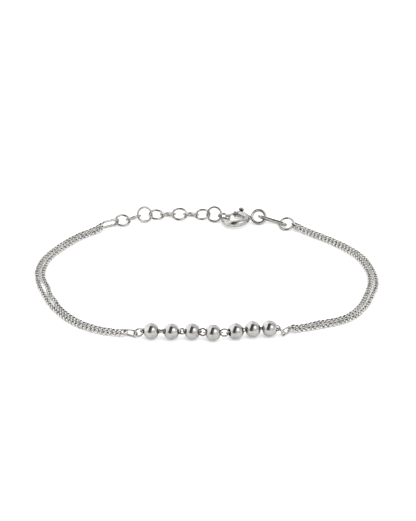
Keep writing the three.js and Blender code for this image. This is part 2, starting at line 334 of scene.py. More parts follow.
@dataclass(frozen=True)
class Place:
    """A centre, and a turn by roll about X, then rise about Y, then heading about Z."""

    centre: Vector
    heading: float = 0.0
    rise: float = 0.0
    roll: float = 0.0

    def turn(self) -> Matrix:
        """The rotation alone, as a 4 x 4 matrix."""
        return (
            Matrix.Rotation(math.radians(self.heading), 4, "Z")
            @ Matrix.Rotation(-math.radians(self.rise), 4, "Y")
            @ Matrix.Rotation(math.radians(self.roll), 4, "X")
        )

    def matrix(self) -> Matrix:
        """The whole placing."""
        return Matrix.Translation(self.centre) @ self.turn()


def numbered(stem: str, count: int) -> list[str]:
    """The names of a row of CAD nodes, numbered from 1."""
    return [f"{stem}_{k + 1}" for k in range(count)]


def middle(node: str) -> Vector:
    """The centre of a CAD node's box."""
    low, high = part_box(node)
    return (low + high) / 2


def bearing(start: Vector, end: Vector) -> Span:
    """Heading and rise of the line from one point to another.

    Args:
        start: Where the line begins.
        end: Where the line ends.

    Returns:
        The heading and the rise.
    """
    run = end - start
    flat = math.hypot(run.x, run.y)
    return math.degrees(math.atan2(run.y, run.x)), math.degrees(math.atan2(run.z, flat))


def direction(angle: float) -> Vector:
    """The level unit vector at an angle from +X towards +Y."""
    turn = math.radians(angle)
    return Vector((math.cos(turn), math.sin(turn), 0))


def bands(rows: Sequence[Sequence[int]], closed: bool) -> list[tuple[int, ...]]:
    """Faces between neighbouring circles of points.

    Args:
        rows: The numbers of each circle's points.
        closed: Whether the last circle joins the first.

    Returns:
        Quads, or triangles where a circle is one point repeated.
    """
    faces = []
    for k in range(len(rows) if closed else len(rows) - 1):
        here, ahead = rows[k], rows[(k + 1) % len(rows)]
        for j in range(len(here)):
            side = (j + 1) % len(here)
            faces.append(tuple(dict.fromkeys((here[j], ahead[j], ahead[side], here[side]))))
    return faces


@dataclass
class Draft:
    """Points and faces gathered for one mesh."""

    points: list[Vector] = field(default_factory=list)
    faces: list[tuple[int, ...]] = field(default_factory=list)

    def add(self, points: Sequence[Vector], faces: Sequence[tuple[int, ...]], place: Matrix) -> None:
        """Adds a shape's points, moved by a matrix, and its faces.

        Args:
            points: The shape's points.
            faces: Its faces, by the points' numbers.
            place: Moves the shape.
        """
        base = len(self.points)
        self.points.extend(place @ point for point in points)
        self.faces.extend(tuple(base + corner for corner in face) for face in faces)

    def wire(
        self,
        path: Sequence[Vector],
        radii: Sequence[float],
        sides: int,
        closed: bool,
        place: Matrix,
    ) -> None:
        """Sweeps a round section along a path in the local XY plane.

        Args:
            path: Centres of the section, anticlockwise seen from +Z where the path closes.
            radii: The section's radius at each centre.
            sides: Corners of the section.
            closed: Whether the path joins its own start. An open wire gets flat end caps.
            place: Moves the finished wire.
        """
        points, count = [], len(path)
        for k, centre in enumerate(path):
            before = path[k - 1] if closed or k > 0 else centre
            after = path[(k + 1) % count] if closed or k < count - 1 else centre
            along = (after - before).normalized()
            out = Vector((along.y, -along.x, 0))
            for j in range(sides):
                about = math.tau * j / sides
                spoke = out * math.cos(about) + Vector((0, 0, math.sin(about)))
                points.append(centre + spoke * radii[k])
        rows = [range(k * sides, (k + 1) * sides) for k in range(count)]
        caps = [] if closed else [tuple(rows[0]), tuple(reversed(rows[-1]))]
        self.add(points, bands(rows, closed) + caps, place)

    def turned(self, profile: Sequence[Span], turns: int, closed: bool, place: Matrix) -> None:
        """Turns a profile about the local X axis.

        Args:
            profile: Distance along the axis and radius of each point, running towards -X on the
                outside. An open profile starts and ends on the axis, at radius 0.
            turns: Steps round the axis.
            closed: Whether the profile joins its own start, as a bored bead's does.
            place: Moves the finished shape.
        """
        points: list[Vector] = []
        rows: list[list[int]] = []
        for along, radius in profile:
            if radius == 0:
                rows.append([len(points)] * turns)
                points.append(Vector((along, 0, 0)))
                continue
            rows.append(list(range(len(points), len(points) + turns)))
            for j in range(turns):
                about = math.tau * j / turns
                points.append(Vector((along, radius * math.cos(about), radius * math.sin(about))))
        self.add(points, bands(rows, closed), place)

    def mesh(self, name: str, sharp: float = 50.0) -> Mesh:
        """The finished mesh, smooth apart from edges sharper than an angle.

        Args:
            name: Name of the mesh.
            sharp: The angle.

        Returns:
            The mesh.
        """
        mesh = bpy.data.meshes.new(name)
        mesh.from_pydata([tuple(point) for point in self.points], [], self.faces)
        mesh.update()
        mesh.shade_smooth()
        mesh.set_sharp_from_angle(angle=math.radians(sharp))
        return mesh


def show(name: str, mesh: Mesh, finish: Finish, nodes: Sequence[str], body: str = MAIN_BODY) -> None:
    """Puts a finished piece in the scene in place of CAD nodes.

    Args:
        name: The piece's name.
        mesh: Its mesh, in the frame's own coordinates.
        finish: What it is dressed in.
        nodes: The CAD nodes that it stands for.
        body: The CAD body that it moves with.
    """
    mesh.materials.clear()
    mesh.materials.append(finish.value.material())
    piece = put(name, mesh)
    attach(piece, body)
    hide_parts(*nodes)
    LOG.info("%s: %d faces on body %s, for %d nodes", name, len(mesh.polygons), body, len(nodes))


# ---- geometry node trees


@dataclass
class GeometryTree:
    """A geometry node tree in the making, which works on a mesh of places."""

    name: str

    def __post_init__(self) -> None:
        """Starts the tree with its geometry input and output."""
        self.tree = bpy.data.node_groups.new(self.name, "GeometryNodeTree")
        self.sockets: dict[str, str] = {}
        self.inputs("Geometry", "Places")
        self.tree.interface.new_socket("Pieces", in_out="OUTPUT", socket_type="NodeSocketGeometry")
        self.source = add_node(self.tree, "NodeGroupInput")
        self.sink = add_node(self.tree, "NodeGroupOutput")

    def inputs(self, kind: str, *names: str) -> None:
        """Adds named inputs of one kind to the tree."""
        for name in names:
            settings = {"in_out": "INPUT", "socket_type": f"NodeSocket{kind}"}
            self.sockets[name] = self.tree.interface.new_socket(name, **settings).identifier

    def given(self, name: str) -> Socket:
        """The output socket of a named input."""
        return self.source.outputs[name]

    def node(self, kind: str, inputs: Optional[Inputs] = None, **settings: object) -> Node:
        """Adds a node, as add_node does."""
        return add_node(self.tree, kind, inputs, **settings)

    def math(self, operation: str, first: object, second: object = None) -> Socket:
        """Adds a sum, as calculate does."""
        return calculate(self.tree, operation, first, second)

    def finish(self, pieces: Socket) -> None:
        """Ends the tree in Realize Instances and Set Material.

        Args:
            pieces: The socket that holds what the tree made.
        """
        real = self.node("GeometryNodeRealizeInstances", {"Geometry": pieces}).outputs["Geometry"]
        inputs = {"Geometry": real, "Material": self.given("Material")}
        dressed = self.node("GeometryNodeSetMaterial", inputs).outputs["Geometry"]
        feed(self.tree, self.sink, {"Pieces": dressed})

    def bake(self, name: str, places: Mesh, values: dict[str, object]) -> Mesh:
        """Runs the tree on a mesh of places.

        Args:
            name: Name of the finished mesh.
            places: The points or line that the tree works on.
            values: The value of each named input.

        Returns:
            The result as a plain mesh.
        """
        carrier = put(f"{name}_places", places)
        modifier = carrier.modifiers.new(self.name, "NODES")
        modifier.node_group = self.tree
        for key, value in values.items():
            modifier[self.sockets[key]] = value
        graph = bpy.context.evaluated_depsgraph_get()
        mesh = bpy.data.meshes.new_from_object(carrier.evaluated_get(graph), depsgraph=graph)
        mesh.name = name
        carrier.modifiers.remove(modifier)
        bpy.data.objects.remove(carrier)
        return mesh


def copies_tree() -> GeometryTree:
    """The tree that sets copies of a template on points, each turned by the point's own angles.

    Returns:
        The tree, with the template and the material as inputs.
    """
    tree = GeometryTree("placed_copies")
    tree.inputs("Object", "Template")
    tree.inputs("Material", "Material")
    template = tree.node("GeometryNodeObjectInfo", {"Object": tree.given("Template")})
    angles = tree.node("GeometryNodeInputNamedAttribute", {"Name": TURN}, data_type="FLOAT_VECTOR")
    turn = tree.node("FunctionNodeEulerToRotation", {"Euler": angles.outputs["Attribute"]})
    inputs = {
        "Points": tree.given("Places"),
        "Instance": template.outputs["Geometry"],
        "Rotation": turn.outputs["Rotation"],
    }
    tree.finish(tree.node("GeometryNodeInstanceOnPoints", inputs).outputs["Instances"])
    return tree


def placed_copies(
    tree: GeometryTree, name: str, template: Mesh, places: Sequence[Place], finish: Finish
) -> Mesh:
    """Sets a copy of a template at each place.

    Args:
        tree: The tree from copies_tree.
        name: Name of the finished mesh.
        template: The shape to copy, about its own origin.
        places: Where the copies go.
        finish: What they are dressed in.

    Returns:
        One mesh that holds all the copies.
    """
    points = bpy.data.meshes.new(f"{name}_points")
    points.from_pydata([tuple(place.centre) for place in places], [], [])
    turns = points.attributes.new(TURN, "FLOAT_VECTOR", "POINT")
    for row, place in zip(turns.data, places):
        row.vector = tuple(place.turn().to_euler("XYZ"))
    pattern = put(f"{name}_template", template)
    mesh = tree.bake(name, points, {"Template": pattern, "Material": finish.value.material()})
    bpy.data.objects.remove(pattern)
    return mesh


# ---- wire loops


@dataclass(frozen=True)
class Loop:
    """A closed loop of round wire, long along its own X, with a soldered joint in one side.

    Attributes:
        length, width: Outer size.
        wire: Diameter of the wire.
        end: Depth of the half ellipse at each end, or None for half the width.
        joint: Where round the loop the solder seam lies, or None for no seam in sight.
        turns, sides: Steps round the loop, and corners of the wire's section.
        bead: Height of the solder, as a share of the wire, and its spread as an angle.
        groove: Depth and spread of the fine groove in it, in the same way.
    """

    length: float
    width: float
    wire: float
    end: Optional[float] = None
    joint: Optional[float] = 96.0
    turns: int = 88
    sides: int = 14
    bead: Span = (0.045, 13.0)
    groove: Span = (0.11, 3.2)

    def draw(self, draft: Draft, place: Matrix) -> None:
        """Adds the loop to a draft.

        Args:
            draft: The draft.
            place: Moves the loop from the XY plane about the origin.
        """
        half = (self.width - self.wire) / 2
        depth = half if self.end is None else self.end
        rail = (self.length - self.wire) / 2 - depth
        path, radii = [], []
        for k in range(self.turns):
            around = math.tau * (k + 0.5) / self.turns
            side = math.copysign(rail, math.cos(around))
            path.append(Vector((side + depth * math.cos(around), half * math.sin(around), 0)))
            radii.append(self.wire / 2 * self._swell(math.degrees(around)))
        draft.wire(path, radii, self.sides, True, place)

    def _swell(self, around: float) -> float:
        """The wire's thickness at an angle, as a share.

        Args:
            around: The angle.

        Returns:
            The share.
        """
        if self.joint is None:
            return 1.0
        off = abs((around - self.joint + 180) % 360 - 180)
        bead, groove = (
            height * math.exp(-((off / spread) ** 2)) for height, spread in (self.bead, self.groove)
        )
        return 1.0 + bead - groove


def show_loop(name: str, loop: Loop, place: Place, node: str) -> None:
    """Shows one loop as a piece of its own, in place of a CAD node.

    Args:
        name: The piece's name.
        loop: The loop.
        place: Where it lies.
        node: The CAD node that it stands for.
    """
    draft = Draft()
    loop.draw(draft, place.matrix())
    show(name, draft.mesh(name), Finish.LINK, [node])


# ---- the bead row


@dataclass(frozen=True)
class BeadRow:
    """The seven ball beads, the narrow links through their holes, and the links between them.

    Attributes:
        radius, hole, lip: Radii of a ball, of its hole and of the hole's rounded edge.
        play: Free play between a core link and what it holds.
        core_wire, core_width: Wire and width of a core link.
        open_wire, open_width: Wire and width of what hangs between beads that stand apart.
        close_wire, close_width: The same between beads that stand close.
        close_gaps: The close gaps, counted from 0.
        yaws: How far each bead's hole is turned away from X.
        left_reaches_mm, right_reaches_mm: From each bead's centre to the wires that its core holds.
        core_rolls, link_rolls: Roll of each core link, and of each link between two beads.
        ball_turns, ball_rows: Steps round a ball, and along it from hole to hole.
        lip_rows: Steps round a lip.
    """

    radius: float = 1.6 * MM
    hole: float = 0.72 * MM
    lip: float = 0.1 * MM
    play: float = 0.13 * MM
    core_wire: float = 0.3 * MM
    core_width: float = 1.28 * MM
    open_wire: float = 0.34 * MM
    open_width: float = 1.68 * MM
    close_wire: float = 0.26 * MM
    close_width: float = 1.06 * MM
    close_gaps: tuple[int, ...] = (4, 5)
    yaws: tuple[float, ...] = (-2, -1, -3, -1, 20, 10, 3)
    left_reaches_mm: tuple[float, ...] = (1.6, 1.34, 1.34, 1.34, 1.42, 1.06, 1.06)
    right_reaches_mm: tuple[float, ...] = (1.34, 1.34, 1.34, 1.34, 1.08, 1.06, 1.6)
    core_rolls: tuple[float, ...] = (-81, 88, -54, -33, -52, -85, -111)
    link_rolls: tuple[float, ...] = (-17, 14, 58, 55, 20, -10)
    ball_turns: int = 64
    ball_rows: int = 36
    lip_rows: int = 6

    def build(self, tree: GeometryTree) -> None:
        """Builds and dresses the whole row.

        Args:
            tree: The tree from copies_tree.
        """
        names = numbered("ball_bead", len(self.yaws))
        centres = [middle(name) for name in names]
        places = [Place(centre, heading=yaw) for centre, yaw in zip(centres, self.yaws)]
        beads = placed_copies(tree, "ball_beads", self._ball(), places, Finish.BEAD)
        show("ball_beads", beads, Finish.BEAD, names)
        self._cores()
        self._links(centres)

    def _ball(self) -> Mesh:
        """One ball with a hole along X and a rolled lip at each end of it.

        Returns:
            Its mesh, about the origin.
        """
        height = self.hole + self.lip
        along = math.sqrt((self.radius - self.lip) ** 2 - height**2)
        limit = math.atan2(height, along)
        profile = []
        for k in range(self.ball_rows + 1):
            angle = limit + (math.pi - 2 * limit) * k / self.ball_rows
            profile.append((self.radius * math.cos(angle), self.radius * math.sin(angle)))
        far = (-along, math.pi - limit, range(1, self.lip_rows + 1))
        near = (along, -math.pi / 2, range(self.lip_rows))
        for end, start, steps in (far, near):
            for k in steps:
                angle = start + (math.pi / 2 + limit) * k / self.lip_rows
                profile.append(
                    (end + self.lip * math.cos(angle), height + self.lip * math.sin(angle))
                )
        draft = Draft()
        draft.turned(profile, self.ball_turns, True, Matrix.Identity(4))
        return draft.mesh("ball", sharp=70.0)

    def _wire_in_gap(self, gap: int) -> float:
        """Wire of what hangs in a gap. An end ring outside the row counts as an open link."""
        return self.close_wire if gap in self.close_gaps else self.open_wire

    def _cores(self) -> None:
        """The narrow links through the holes."""
        draft = Draft()
        names = numbered("bead_core_link", len(self.yaws))
        for k, name in enumerate(names):
            left = self.left_reaches_mm[k] * MM + (self._wire_in_gap(k - 1) + self.core_wire) / 2
            right = self.right_reaches_mm[k] * MM + (self._wire_in_gap(k) + self.core_wire) / 2
            length = left + right + 2 * self.play + self.core_wire
            place = Place(middle(name), self.yaws[k], 0, self.core_rolls[k])
            loop = Loop(length, self.core_width, self.core_wire, joint=None, turns=64, sides=12)
            loop.draw(draft, place.matrix())
        show("bead_core_links", draft.mesh("bead_core_links"), Finish.LINK, names)

    def _links(self, centres: Sequence[Vector]) -> None:
        """The links between neighbouring beads.

        Args:
            centres: The beads' centres.
        """
        draft = Draft()
        for k, roll in enumerate(self.link_rolls):
            start = centres[k] + direction(self.yaws[k]) * self.right_reaches_mm[k] * MM
            end = centres[k + 1] + direction(self.yaws[k + 1]) * -self.left_reaches_mm[k + 1] * MM
            heading, rise = bearing(start, end)
            wire = self._wire_in_gap(k)
            length = (end - start).length + wire
            place = Place((start + end) / 2, heading, rise, roll)
            if k in self.close_gaps:
                loop = Loop(length, self.close_width, wire, joint=None)
            else:
                loop = Loop(length, self.open_width, wire, end=(length - wire) / 2)
            loop.draw(draft, place.matrix())
        names = numbered("bead_link", len(self.link_rolls))
        show("bead_links", draft.mesh("bead_links"), Finish.LINK, names)


# ---- single rings and links


@dataclass(frozen=True)
class JoiningLinks:
    """The end rings, the links that gather the strands, and the clasp's link, each as it lies.

    Attributes:
        loops: Each one's CAD node, shape, and heading, rise and roll.
    """

    loops: tuple[tuple[str, Loop, Triple], ...] = (
        ("left_end_ring", Loop(2.25 * MM, 1.95 * MM, 0.39 * MM), (-2, 25, 30)),
        ("left_joining_link", Loop(2.65 * MM, 1.65 * MM, 0.39 * MM), (-21, 0, 88)),
        ("right_end_ring", Loop(2.22 * MM, 1.92 * MM, 0.36 * MM), (-18, -30, -31)),
        ("right_joining_link", Loop(2.62 * MM, 1.62 * MM, 0.36 * MM), (44, 0, 88)),
        ("left_back_link", Loop(4.36 * MM, 2.06 * MM, 0.5 * MM), (27, 0, 105)),
        ("clasp_link", Loop(6.78 * MM, 2.28 * MM, 0.52 * MM), (-24, -5, -44)),
        ("right_back_ring", Loop(3.51 * MM, 3.51 * MM, 0.5 * MM), (-25, 0, 26)),
    )

    def build(self) -> None:
        """Builds and dresses each link as a piece of its own."""
        for node, loop, lie in self.loops:
            show_loop(f"{node}_wire", loop, Place(middle(node), *lie), node)


@dataclass(frozen=True)
class Extender:
    """The ring chain behind, from the left back link to the clasp.

    Attributes:
        outer: Outer diameter of a ring.
        last_outer: Outer diameter of the small ring that the latch holds.
        wire: Diameter of the wire.
        rolls: Roll of each ring about the line of the chain.
        grip_mm: Where the latch holds the small ring, from the clasp's centre.
    """

    outer: float = 3.56 * MM
    last_outer: float = 2.86 * MM
    wire: float = 0.5 * MM
    rolls: tuple[float, ...] = (17, -36, 55, 8, -38, 20, -38, 12, 60, -60)
    grip_mm: Triple = (-1.87, 0.72, -0.06)

    def build(self, tree: GeometryTree) -> None:
        """Builds the equal rings as copies of one, and the small ring by itself.

        Args:
            tree: The tree from copies_tree.
        """
        names = numbered("extender_ring", len(self.rolls))
        grip = Clasp().centre() + Vector(self.grip_mm) * MM
        spots = [middle("left_back_link"), *(middle(name) for name in names), grip]
        places = [
            Place(spots[k + 1], *bearing(spots[k], spots[k + 2]), roll)
            for k, roll in enumerate(self.rolls)
        ]
        template = Draft()
        Loop(self.outer, self.outer, self.wire).draw(template, Matrix.Identity(4))
        ring = template.mesh("ring")
        rings = placed_copies(tree, "extender_rings", ring, places[:-1], Finish.LINK)
        show("extender_rings", rings, Finish.LINK, names[:-1])
        small = Loop(self.last_outer, self.last_outer, self.wire)
        show_loop("extender_end_ring", small, places[-1], names[-1])


# ---- curb chain strands


# The curb tree's inputs, each named after a field of CurbLink.
LINK_SIZES = ("Pitch", "Length", "Width", "Wire", "Twist", "Height", "Jitter")
LINK_COUNTS = ("Turns", "Sides", "Seed")


class CurbTree(GeometryTree):
    """The tree that hangs curb links along a line, with a link's sizes as inputs."""

    def __post_init__(self) -> None:
        """Starts the tree, adds its inputs and ends it in the hung links."""
        super().__post_init__()
        self.inputs("Float", *LINK_SIZES)
        self.inputs("Int", *LINK_COUNTS)
        self.inputs("Material", "Material")
        link = self._recess(self._flats(self._oval()))
        points, turn = self._stations()
        inputs = {"Points": points, "Instance": link, "Rotation": turn}
        self.finish(self.node("GeometryNodeInstanceOnPoints", inputs).outputs["Instances"])

    def _oval(self) -> Socket:
        """Nodes that draw one twisted link about the origin, long along X.

        Returns:
            The socket that holds the link's mesh.
        """
        inputs = {"Radius": 1.0, "Resolution": self.given("Turns")}
        circle = self.node("GeometryNodeCurvePrimitiveCircle", inputs, mode="RADIUS")
        x, y, _ = self._spot()
        half_long, half_wide = (
            self.math("MULTIPLY", self.math("SUBTRACT", self.given(name), self.given("Wire")), 0.5)
            for name in ("Length", "Width")
        )
        lean = self.math("MULTIPLY", self.given("Twist"), x)
        across = self.math("MULTIPLY", half_wide, y)
        bend = self._moved(
            circle.outputs["Curve"],
            self.math("MULTIPLY", half_long, x),
            self.math("MULTIPLY", across, self.math("COSINE", lean)),
            self.math("MULTIPLY", across, self.math("SINE", lean)),
        )
        radius = self.math("MULTIPLY", self.given("Wire"), 0.5)
        inputs = {"Resolution": self.given("Sides"), "Radius": radius}
        section = self.node("GeometryNodeCurvePrimitiveCircle", inputs, mode="RADIUS")
        inputs = {"Curve": bend, "Profile Curve": section.outputs["Curve"]}
        return self.node("GeometryNodeCurveToMesh", inputs).outputs["Mesh"]

    def _spot(self) -> tuple[Socket, Socket, Socket]:
        """The coordinates of each point."""
        spot = self.node("GeometryNodeInputPosition").outputs["Position"]
        return tuple(self.node("ShaderNodeSeparateXYZ", {"Vector": spot}).outputs)

    def _moved(self, shape: Socket, x: Socket, y: Socket, z: Socket) -> Socket:
        """Nodes that move each point of a shape to new coordinates.

        Args:
            shape: The socket that holds the shape.
            x: The new x of each point.
            y: The new y.
            z: The new z.

        Returns:
            The socket that holds the moved shape.
        """
        spot = self.node("ShaderNodeCombineXYZ", {"X": x, "Y": y, "Z": z}).outputs["Vector"]
        inputs = {"Geometry": shape, "Position": spot}
        return self.node("GeometryNodeSetPosition", inputs).outputs["Geometry"]

    def _flats(self, link: Socket) -> Socket:
        """Nodes that cut the flats on top and below, and smooth the link.

        Args:
            link: The socket that holds the round link.

        Returns:
            The socket that holds the flattened one.
        """
        x, y, z = self._spot()
        top = self.math("MULTIPLY", self.given("Height"), 0.5)
        under = self.math("MULTIPLY", top, -1.0)
        held = self.math("MAXIMUM", self.math("MINIMUM", z, top), under)
        inputs = {"Geometry": self._moved(link, x, y, held)}
        return self.node("GeometryNodeSetShadeSmooth", inputs).outputs["Geometry"]

    def _recess(self, link: Socket) -> Socket:
        """Nodes that note how far each point faces the middle of its link, where the finish paints shade.

        Args:
            link: The socket that holds the link.

        Returns:
            The socket that holds the link with its attribute.
        """
        spot = self.node("GeometryNodeInputPosition").outputs["Position"]
        out = self.node("ShaderNodeVectorMath", {0: spot}, operation="NORMALIZE").outputs["Vector"]
        face = self.node("GeometryNodeInputNormal").outputs["Normal"]
        facing = self.node("ShaderNodeVectorMath", {0: out, 1: face}, operation="DOT_PRODUCT")
        depth = self.math("MULTIPLY", facing.outputs["Value"], -1.0)
        # This value drives the painted shade on the links' inner faces.
        inputs = {"Geometry": link, "Name": RECESS, "Value": depth}
        kept = {"data_type": "FLOAT", "domain": "POINT"}
        return self.node("GeometryNodeStoreNamedAttribute", inputs, **kept).outputs["Geometry"]

    def _stations(self) -> tuple[Socket, Socket]:
        """Nodes that step along the line by the pitch, and turn each link to lie along it.

        Returns:
            The sockets that hold the links' points and their rotations.
        """
        line = self.node("GeometryNodeMeshToCurve", {"Mesh": self.given("Places")})
        inputs = {"Curve": line.outputs["Curve"], "Length": self.given("Pitch")}
        steps = self.node("GeometryNodeResampleCurve", inputs, mode="LENGTH")
        inputs = {"Curve": steps.outputs["Curve"]}
        points = self.node("GeometryNodeCurveToPoints", inputs, mode="EVALUATED")
        inputs = {"Primary Axis": points.outputs["Tangent"], "Secondary Axis": (0.0, 0.0, 1.0)}
        flat = self.node("FunctionNodeAxesToRotation", inputs, primary_axis="X", secondary_axis="Z")
        least = self.math("MULTIPLY", self.given("Jitter"), -1.0)
        inputs = {"Min": least, "Max": self.given("Jitter"), "Seed": self.given("Seed")}
        chance = self.node("FunctionNodeRandomValue", inputs, data_type="FLOAT_VECTOR")
        shake = self.node("FunctionNodeEulerToRotation", {"Euler": chance.outputs["Value"]})
        inputs = {"Rotation": flat.outputs["Rotation"], "Rotate By": shake.outputs["Rotation"]}
        turn = self.node("FunctionNodeRotateRotation", inputs, rotation_space="LOCAL")
        return points.outputs["Points"], turn.outputs["Rotation"]


@dataclass(frozen=True)
class CurbLink:
    """One link of a curb chain: an oval of wire, twisted so that the chain lies flat.

    Attributes:
        pitch: From one link to the next.
        length, width: Outer size.
        wire: Diameter of the wire.
        twist: How far each end is turned out of the flat.
        height: Height between the flats cut on top and below.
        jitter, seed: Largest random tilt of a link, and the seed of the tilts.
        turns, sides: Steps round the oval, and corners of the wire's section.
    """

    pitch: float = 0.91 * MM
    length: float = 1.66 * MM
    width: float = 1.21 * MM
    wire: float = 0.37 * MM
    twist: float = 54.0
    height: float = 0.66 * MM
    jitter: float = 5.0
    turns: int = 12
    sides: int = 6
    seed: int = 4

    def values(self) -> dict[str, object]:
        """The value of each named input of the curb tree.

        Returns:
            The values by input name, with angles in radians.
        """
        values = {name: getattr(self, name.lower()) for name in (*LINK_SIZES, *LINK_COUNTS)}
        values.update({name: math.radians(values[name]) for name in ("Twist", "Jitter")})
        return {**values, "Material": Finish.CURB.value.material()}


@dataclass(frozen=True)
class Strands:
    """The two curb chain strands on each side, each pair along one middle line.

    All its numbers are in millimetres in the bracelet's layout, whose origin is the middle of the
    bracelet on the table. Each row of a line gives x, y, z and the distance of each strand.

    Attributes:
        left_grips, right_grips: Middles of the wires that the end links hook round.
        left, right: Each pair's middle line, from the bead row to the back.
        hook_reach: From a grip to the middle of the link that hooks round it.
        hook_aside: How far such a link lies to its strand's own side.
        hook_over, hook_under: Heights of the upper and the lower such link above the grip.
        steps: Steps between two rows of a line.
        link: The link that the strands are made of.
    """

    left_grips: tuple[Triple, Triple] = ((-15.8, -22.2, 0.84), (-22.52, 18.4, 1.02))
    right_grips: tuple[Triple, Triple] = ((16.13, -21.2, 0.83), (18.35, 18.66, 1.0))
    left: tuple[Quad, ...] = (
        (-16.3, -22.08, 0.66, 0.54), (-17.5, -21.8, 0.45, 0.58), (-18.8, -21.5, 0.38, 0.6),
        (-20.5, -21.1, 0.375, 0.62), (-24.1, -19.35, 0.375, 0.62), (-27.3, -16.6, 0.375, 0.62),
        (-29.9, -13.1, 0.375, 0.62), (-31.2, -10.4, 0.375, 0.74), (-32.2, -8.1, 0.375, 0.62),
        (-33.1, -5.2, 0.375, 0.8), (-34.0, -2.2, 0.375, 0.64), (-34.3, 1.0, 0.375, 0.62),
        (-33.7, 4.6, 0.375, 0.62), (-32.4, 7.7, 0.375, 0.62), (-30.2, 11.1, 0.375, 0.64),
        (-27.3, 14.5, 0.375, 0.64), (-25.0, 16.4, 0.375, 0.62), (-23.9, 17.2, 0.44, 0.6),
        (-22.9, 18.0, 0.7, 0.56),
    )
    right: tuple[Quad, ...] = (
        (16.6, -20.8, 0.66, 0.54), (17.6, -20.46, 0.45, 0.58), (18.6, -20.14, 0.38, 0.6),
        (19.9, -19.8, 0.375, 0.62), (22.8, -18.75, 0.375, 0.74), (25.9, -17.7, 0.375, 0.62),
        (28.4, -16.1, 0.375, 0.62), (30.9, -12.7, 0.375, 0.62), (32.6, -8.3, 0.375, 0.62),
        (33.6, -4.9, 0.375, 0.68), (33.85, -1.6, 0.375, 0.62), (33.3, 2.1, 0.375, 0.62),
        (31.9, 6.2, 0.375, 0.62), (29.6, 9.6, 0.375, 0.62), (26.4, 12.8, 0.375, 0.62),
        (22.8, 15.7, 0.375, 0.62), (20.7, 17.3, 0.45, 0.6), (19.0, 18.45, 0.75, 0.56),
    )
    hook_reach: float = 0.29
    hook_aside: float = 0.2
    hook_over: float = 0.22
    hook_under: float = -0.12
    steps: int = 10
    link: CurbLink = CurbLink()

    def build(self, origin: Vector) -> None:
        """Builds the four strands.

        Args:
            origin: The layout's origin.
        """
        tree = CurbTree("curb_chain")
        sides = {
            "left_strand_outer": (self.left, 1, self.left_grips),
            "left_strand_inner": (self.left, -1, self.left_grips),
            "right_strand_outer": (self.right, -1, self.right_grips),
            "right_strand_inner": (self.right, 1, self.right_grips),
        }
        for node, (route, side, grips) in sides.items():
            name = f"{node}_links"
            line = self._line(route, side, grips, "outer" in node, origin)
            places = bpy.data.meshes.new(f"{node}_line")
            edges = [(k, k + 1) for k in range(len(line) - 1)]
            places.from_pydata([tuple(point) for point in line], edges, [])
            show(name, tree.bake(name, places, self.link.values()), Finish.CURB, [node])

    def _line(
        self,
        route: Sequence[Quad],
        side: int,
        grips: Sequence[Triple],
        above: bool,
        origin: Vector,
    ) -> list[Vector]:
        """The smooth line of one strand.

        Args:
            route: The pair's middle line.
            side: 1 to the left of the route's direction, or -1.
            grips: The wires that its two ends hook round.
            above: Whether its end links lie above those of the other strand.
            origin: The layout's origin.

        Returns:
            Close-set points, from the bead row to the back.
        """
        spots = [Vector(row[:3]) for row in route]
        knots = []
        for k, spot in enumerate(spots):
            run = spots[min(k + 1, len(spots) - 1)] - spots[max(k - 1, 0)]
            across = Vector((-run.y, run.x, 0)).normalized()
            knots.append(origin + (spot + across * side * route[k][3]) * MM)
        hooks = []
        for grip, near, aside in ((grips[0], spots[0], side), (grips[1], spots[-1], -side)):
            back = (near - Vector(grip)).normalized()
            beside = Vector((-back.y, back.x, 0)).normalized() * aside * self.hook_aside
            lift = Vector((0, 0, self.hook_over if above else self.hook_under))
            hooks.append(origin + (Vector(grip) + back * self.hook_reach + beside + lift) * MM)
        return smooth_line([hooks[0], *knots, hooks[1]], self.steps)


def smooth_line(knots: Sequence[Vector], steps: int) -> list[Vector]:
    """A smooth line through knots.

    Args:
        knots: The points that it passes through.
        steps: Steps between two knots.

    Returns:
        The points of the line.
    """
    padded = [knots[0] * 2 - knots[1], *knots, knots[-1] * 2 - knots[-2]]
    line = []
    for k in range(len(knots) - 1):
        a, b, c, d = padded[k : k + 4]
        for step in range(steps):
            t = step / steps
            bend = (a * 2 - b * 5 + c * 4 - d) * t**2
            line.append((b * 2 + (c - a) * t + bend + (b * 3 - a - c * 3 + d) * t**3) / 2)
    return [*line, knots[-1].copy()]


# ---- the clasp


